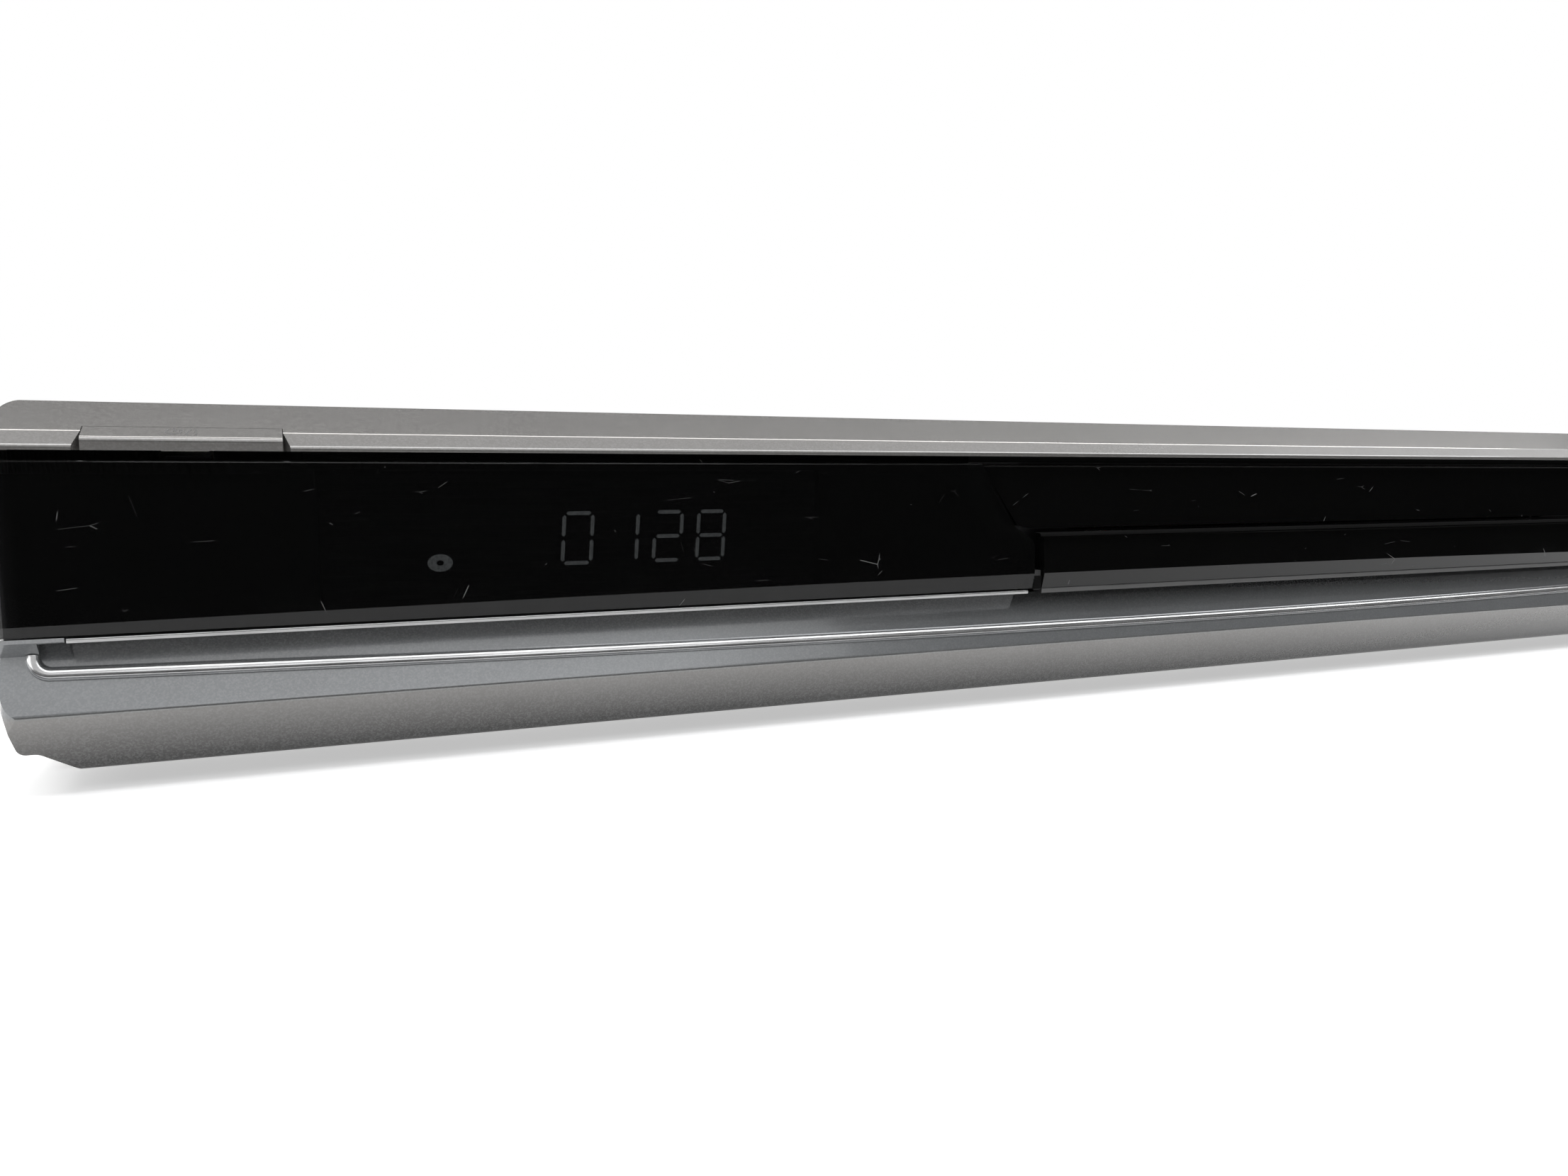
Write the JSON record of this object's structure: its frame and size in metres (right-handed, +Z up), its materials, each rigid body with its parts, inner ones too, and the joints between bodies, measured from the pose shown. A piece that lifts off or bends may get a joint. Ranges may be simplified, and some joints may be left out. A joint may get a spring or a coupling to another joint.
{
  "type": "blu-ray player",
  "caption": "Slim silver disc player with gloss black front, smoked display window, motor-driven disc tray, drop-down flap and brow buttons.",
  "frame": {"origin": "on the ground under the middle of the player's box, at the level of its feet", "axes": "+X to the viewer's right, +Y from front to back, +Z up"},
  "size_m": [0.43, 0.249, 0.055],
  "materials": {
    "silver_moulding": "satin silver paint with fine metallic flake",
    "silver_trim": "bright silver paint",
    "smoked_window": "smoked, polished",
    "black_gloss": "polished black",
    "black_plastic": "fine moulded grain",
    "cover_paint": "satin silver grey paint",
    "plated_steel": "zinc plated",
    "motor_can": "plated steel can",
    "white_nylon": "moulded nylon",
    "soft_rubber": "matte rubber",
    "display_glass": "dark glass",
    "lens_glass": "coated glass",
    "circuit_board": "green solder mask",
    "chip_black": "black epoxy",
    "can_sleeve": "sleeved can",
    "heat_sink_metal": "anodised",
    "jack_metal": "plated"
  },
  "bodies": {
    "chassis": {"front_bezel": "silver_moulding", "window_panel": "smoked_window", "window_trim": "silver_trim", "right_panel": "black_gloss", "sub_panel": "black_plastic", "drive_belt": "soft_rubber", "loading_motor": "motor_can", "loader_frame": "black_plastic", "clamp_bridge": "plated_steel", "top_cover": "cover_paint", "bottom_chassis": "plated_steel", "rear_panel": "plated_steel", "feet": "black_plastic", "cover_screws": "plated_steel", "fan_frame": "black_plastic", "display_tube": "display_glass", "display_board": "circuit_board", "main_board": "circuit_board", "main_chips": "chip_black", "heat_sink": "heat_sink_metal", "power_board": "circuit_board", "transformer": "chip_black", "capacitors": "can_sleeve", "mains_inlet": "black_plastic", "lan_socket": "black_plastic", "hdmi_socket": "plated_steel", "optical_out": "black_plastic", "av_jacks": "jack_metal", "front_board": "circuit_board", "usb_socket": "plated_steel", "card_socket": "plated_steel", "key_boards": "circuit_board", "key_switches": "black_plastic"},
    "tray": {"disc_tray": "black_plastic", "tray_front": "black_gloss"},
    "flap_door": {"flap": "black_gloss", "flap_trim": "silver_trim"},
    "power_key": {"power_button": "silver_moulding"},
    "open_key": {"open_button": "silver_moulding"},
    "play_key": {"play_button": "black_plastic"},
    "stop_key": {"stop_button": "black_plastic"},
    "tray_wheel": {"tray_gear": "white_nylon"},
    "belt_wheel": {"belt_pulley": "white_nylon"},
    "motor_wheel": {"motor_pulley": "white_nylon"},
    "traverse": {"traverse_frame": "plated_steel", "isolators": "soft_rubber", "spindle_motor": "motor_can", "guide_rods": "plated_steel", "feed_motor": "motor_can"},
    "disc_table": {"turntable": "black_plastic"},
    "disc_clamp": {"clamper": "black_plastic"},
    "sled": {"pickup_sled": "black_plastic", "objective_lens": "lens_glass"},
    "screw": {"feed_screw": "plated_steel"},
    "cam": {"lift_cam": "white_nylon"},
    "fan": {"fan_rotor": "black_plastic"}
  },
  "joints": [
    {"name": "tray_slide", "type": "slide", "parent": "chassis", "child": "tray", "axis": [0, -1, 0], "range_m": [0, 0.138]},
    {"name": "flap_hinge", "type": "hinge", "parent": "chassis", "child": "flap_door", "pos_m": [0, -0.1203, 0.0236], "axis": [1, 0, 0], "range_deg": [0, 90]},
    {"name": "power_press", "type": "slide", "parent": "chassis", "child": "power_key", "axis": [0, 0, -1], "range_m": [0, 0.0006], "stiffness_N_per_m": 1500},
    {"name": "open_press", "type": "slide", "parent": "chassis", "child": "open_key", "axis": [0, 0, -1], "range_m": [0, 0.0006], "stiffness_N_per_m": 1500},
    {"name": "play_press", "type": "slide", "parent": "chassis", "child": "play_key", "axis": [0, 1, 0], "range_m": [0, 0.0005], "stiffness_N_per_m": 1500},
    {"name": "stop_press", "type": "slide", "parent": "chassis", "child": "stop_key", "axis": [0, 1, 0], "range_m": [0, 0.0005], "stiffness_N_per_m": 1500},
    {"name": "tray_gear_spin", "type": "hinge", "parent": "chassis", "child": "tray_wheel", "pos_m": [-0.012, -0.094, 0.027], "axis": [0, 0, 1], "range_deg": [0, 990.35]},
    {"name": "belt_pulley_spin", "type": "hinge", "parent": "chassis", "child": "belt_wheel", "pos_m": [0.00967, -0.09782, 0.0225], "axis": [0, 0, 1], "range_deg": [-2639.61, 0]},
    {"name": "motor_pulley_spin", "type": "hinge", "parent": "chassis", "child": "motor_wheel", "pos_m": [0.04067, -0.09782, 0.0225], "axis": [0, 0, 1], "range_deg": [-8268.23, 0]},
    {"name": "traverse_lift", "type": "slide", "parent": "chassis", "child": "traverse", "axis": [0, 0, 1], "range_m": [0, 0.008]},
    {"name": "lift_cam_slide", "type": "slide", "parent": "chassis", "child": "cam", "axis": [1, 0, 0], "range_m": [0, 0.016]},
    {"name": "turntable_spin", "type": "hinge", "parent": "traverse", "child": "disc_table", "pos_m": [0.041, -0.049, 0.0329], "axis": [0, 0, 1], "continuous": true},
    {"name": "clamper_spin", "type": "hinge", "parent": "chassis", "child": "disc_clamp", "pos_m": [0.041, -0.049, 0.0455], "axis": [0, 0, 1], "continuous": true},
    {"name": "sled_slide", "type": "slide", "parent": "traverse", "child": "sled", "axis": [0, 1, 0], "range_m": [0, 0.034]},
    {"name": "feed_screw_spin", "type": "hinge", "parent": "traverse", "child": "screw", "pos_m": [0.071, -0.025, 0.0247], "axis": [0, 1, 0], "range_deg": [0, 4090]},
    {"name": "fan_spin", "type": "hinge", "parent": "chassis", "child": "fan", "pos_m": [0.06, 0.1135, 0.027], "axis": [0, 1, 0], "continuous": true}
  ],
  "couplings": [
    {"joint": "tray_gear_spin", "follows": "tray_slide", "rad_per_m": 125},
    {"joint": "belt_pulley_spin", "follows": "tray_slide", "rad_per_m": -333.33},
    {"joint": "motor_pulley_spin", "follows": "tray_slide", "rad_per_m": -1044.4},
    {"joint": "lift_cam_slide", "follows": "traverse_lift", "ratio": 2},
    {"joint": "clamper_spin", "follows": "turntable_spin", "ratio": 1},
    {"joint": "feed_screw_spin", "follows": "sled_slide", "rad_per_m": 2094.4}
  ]
}
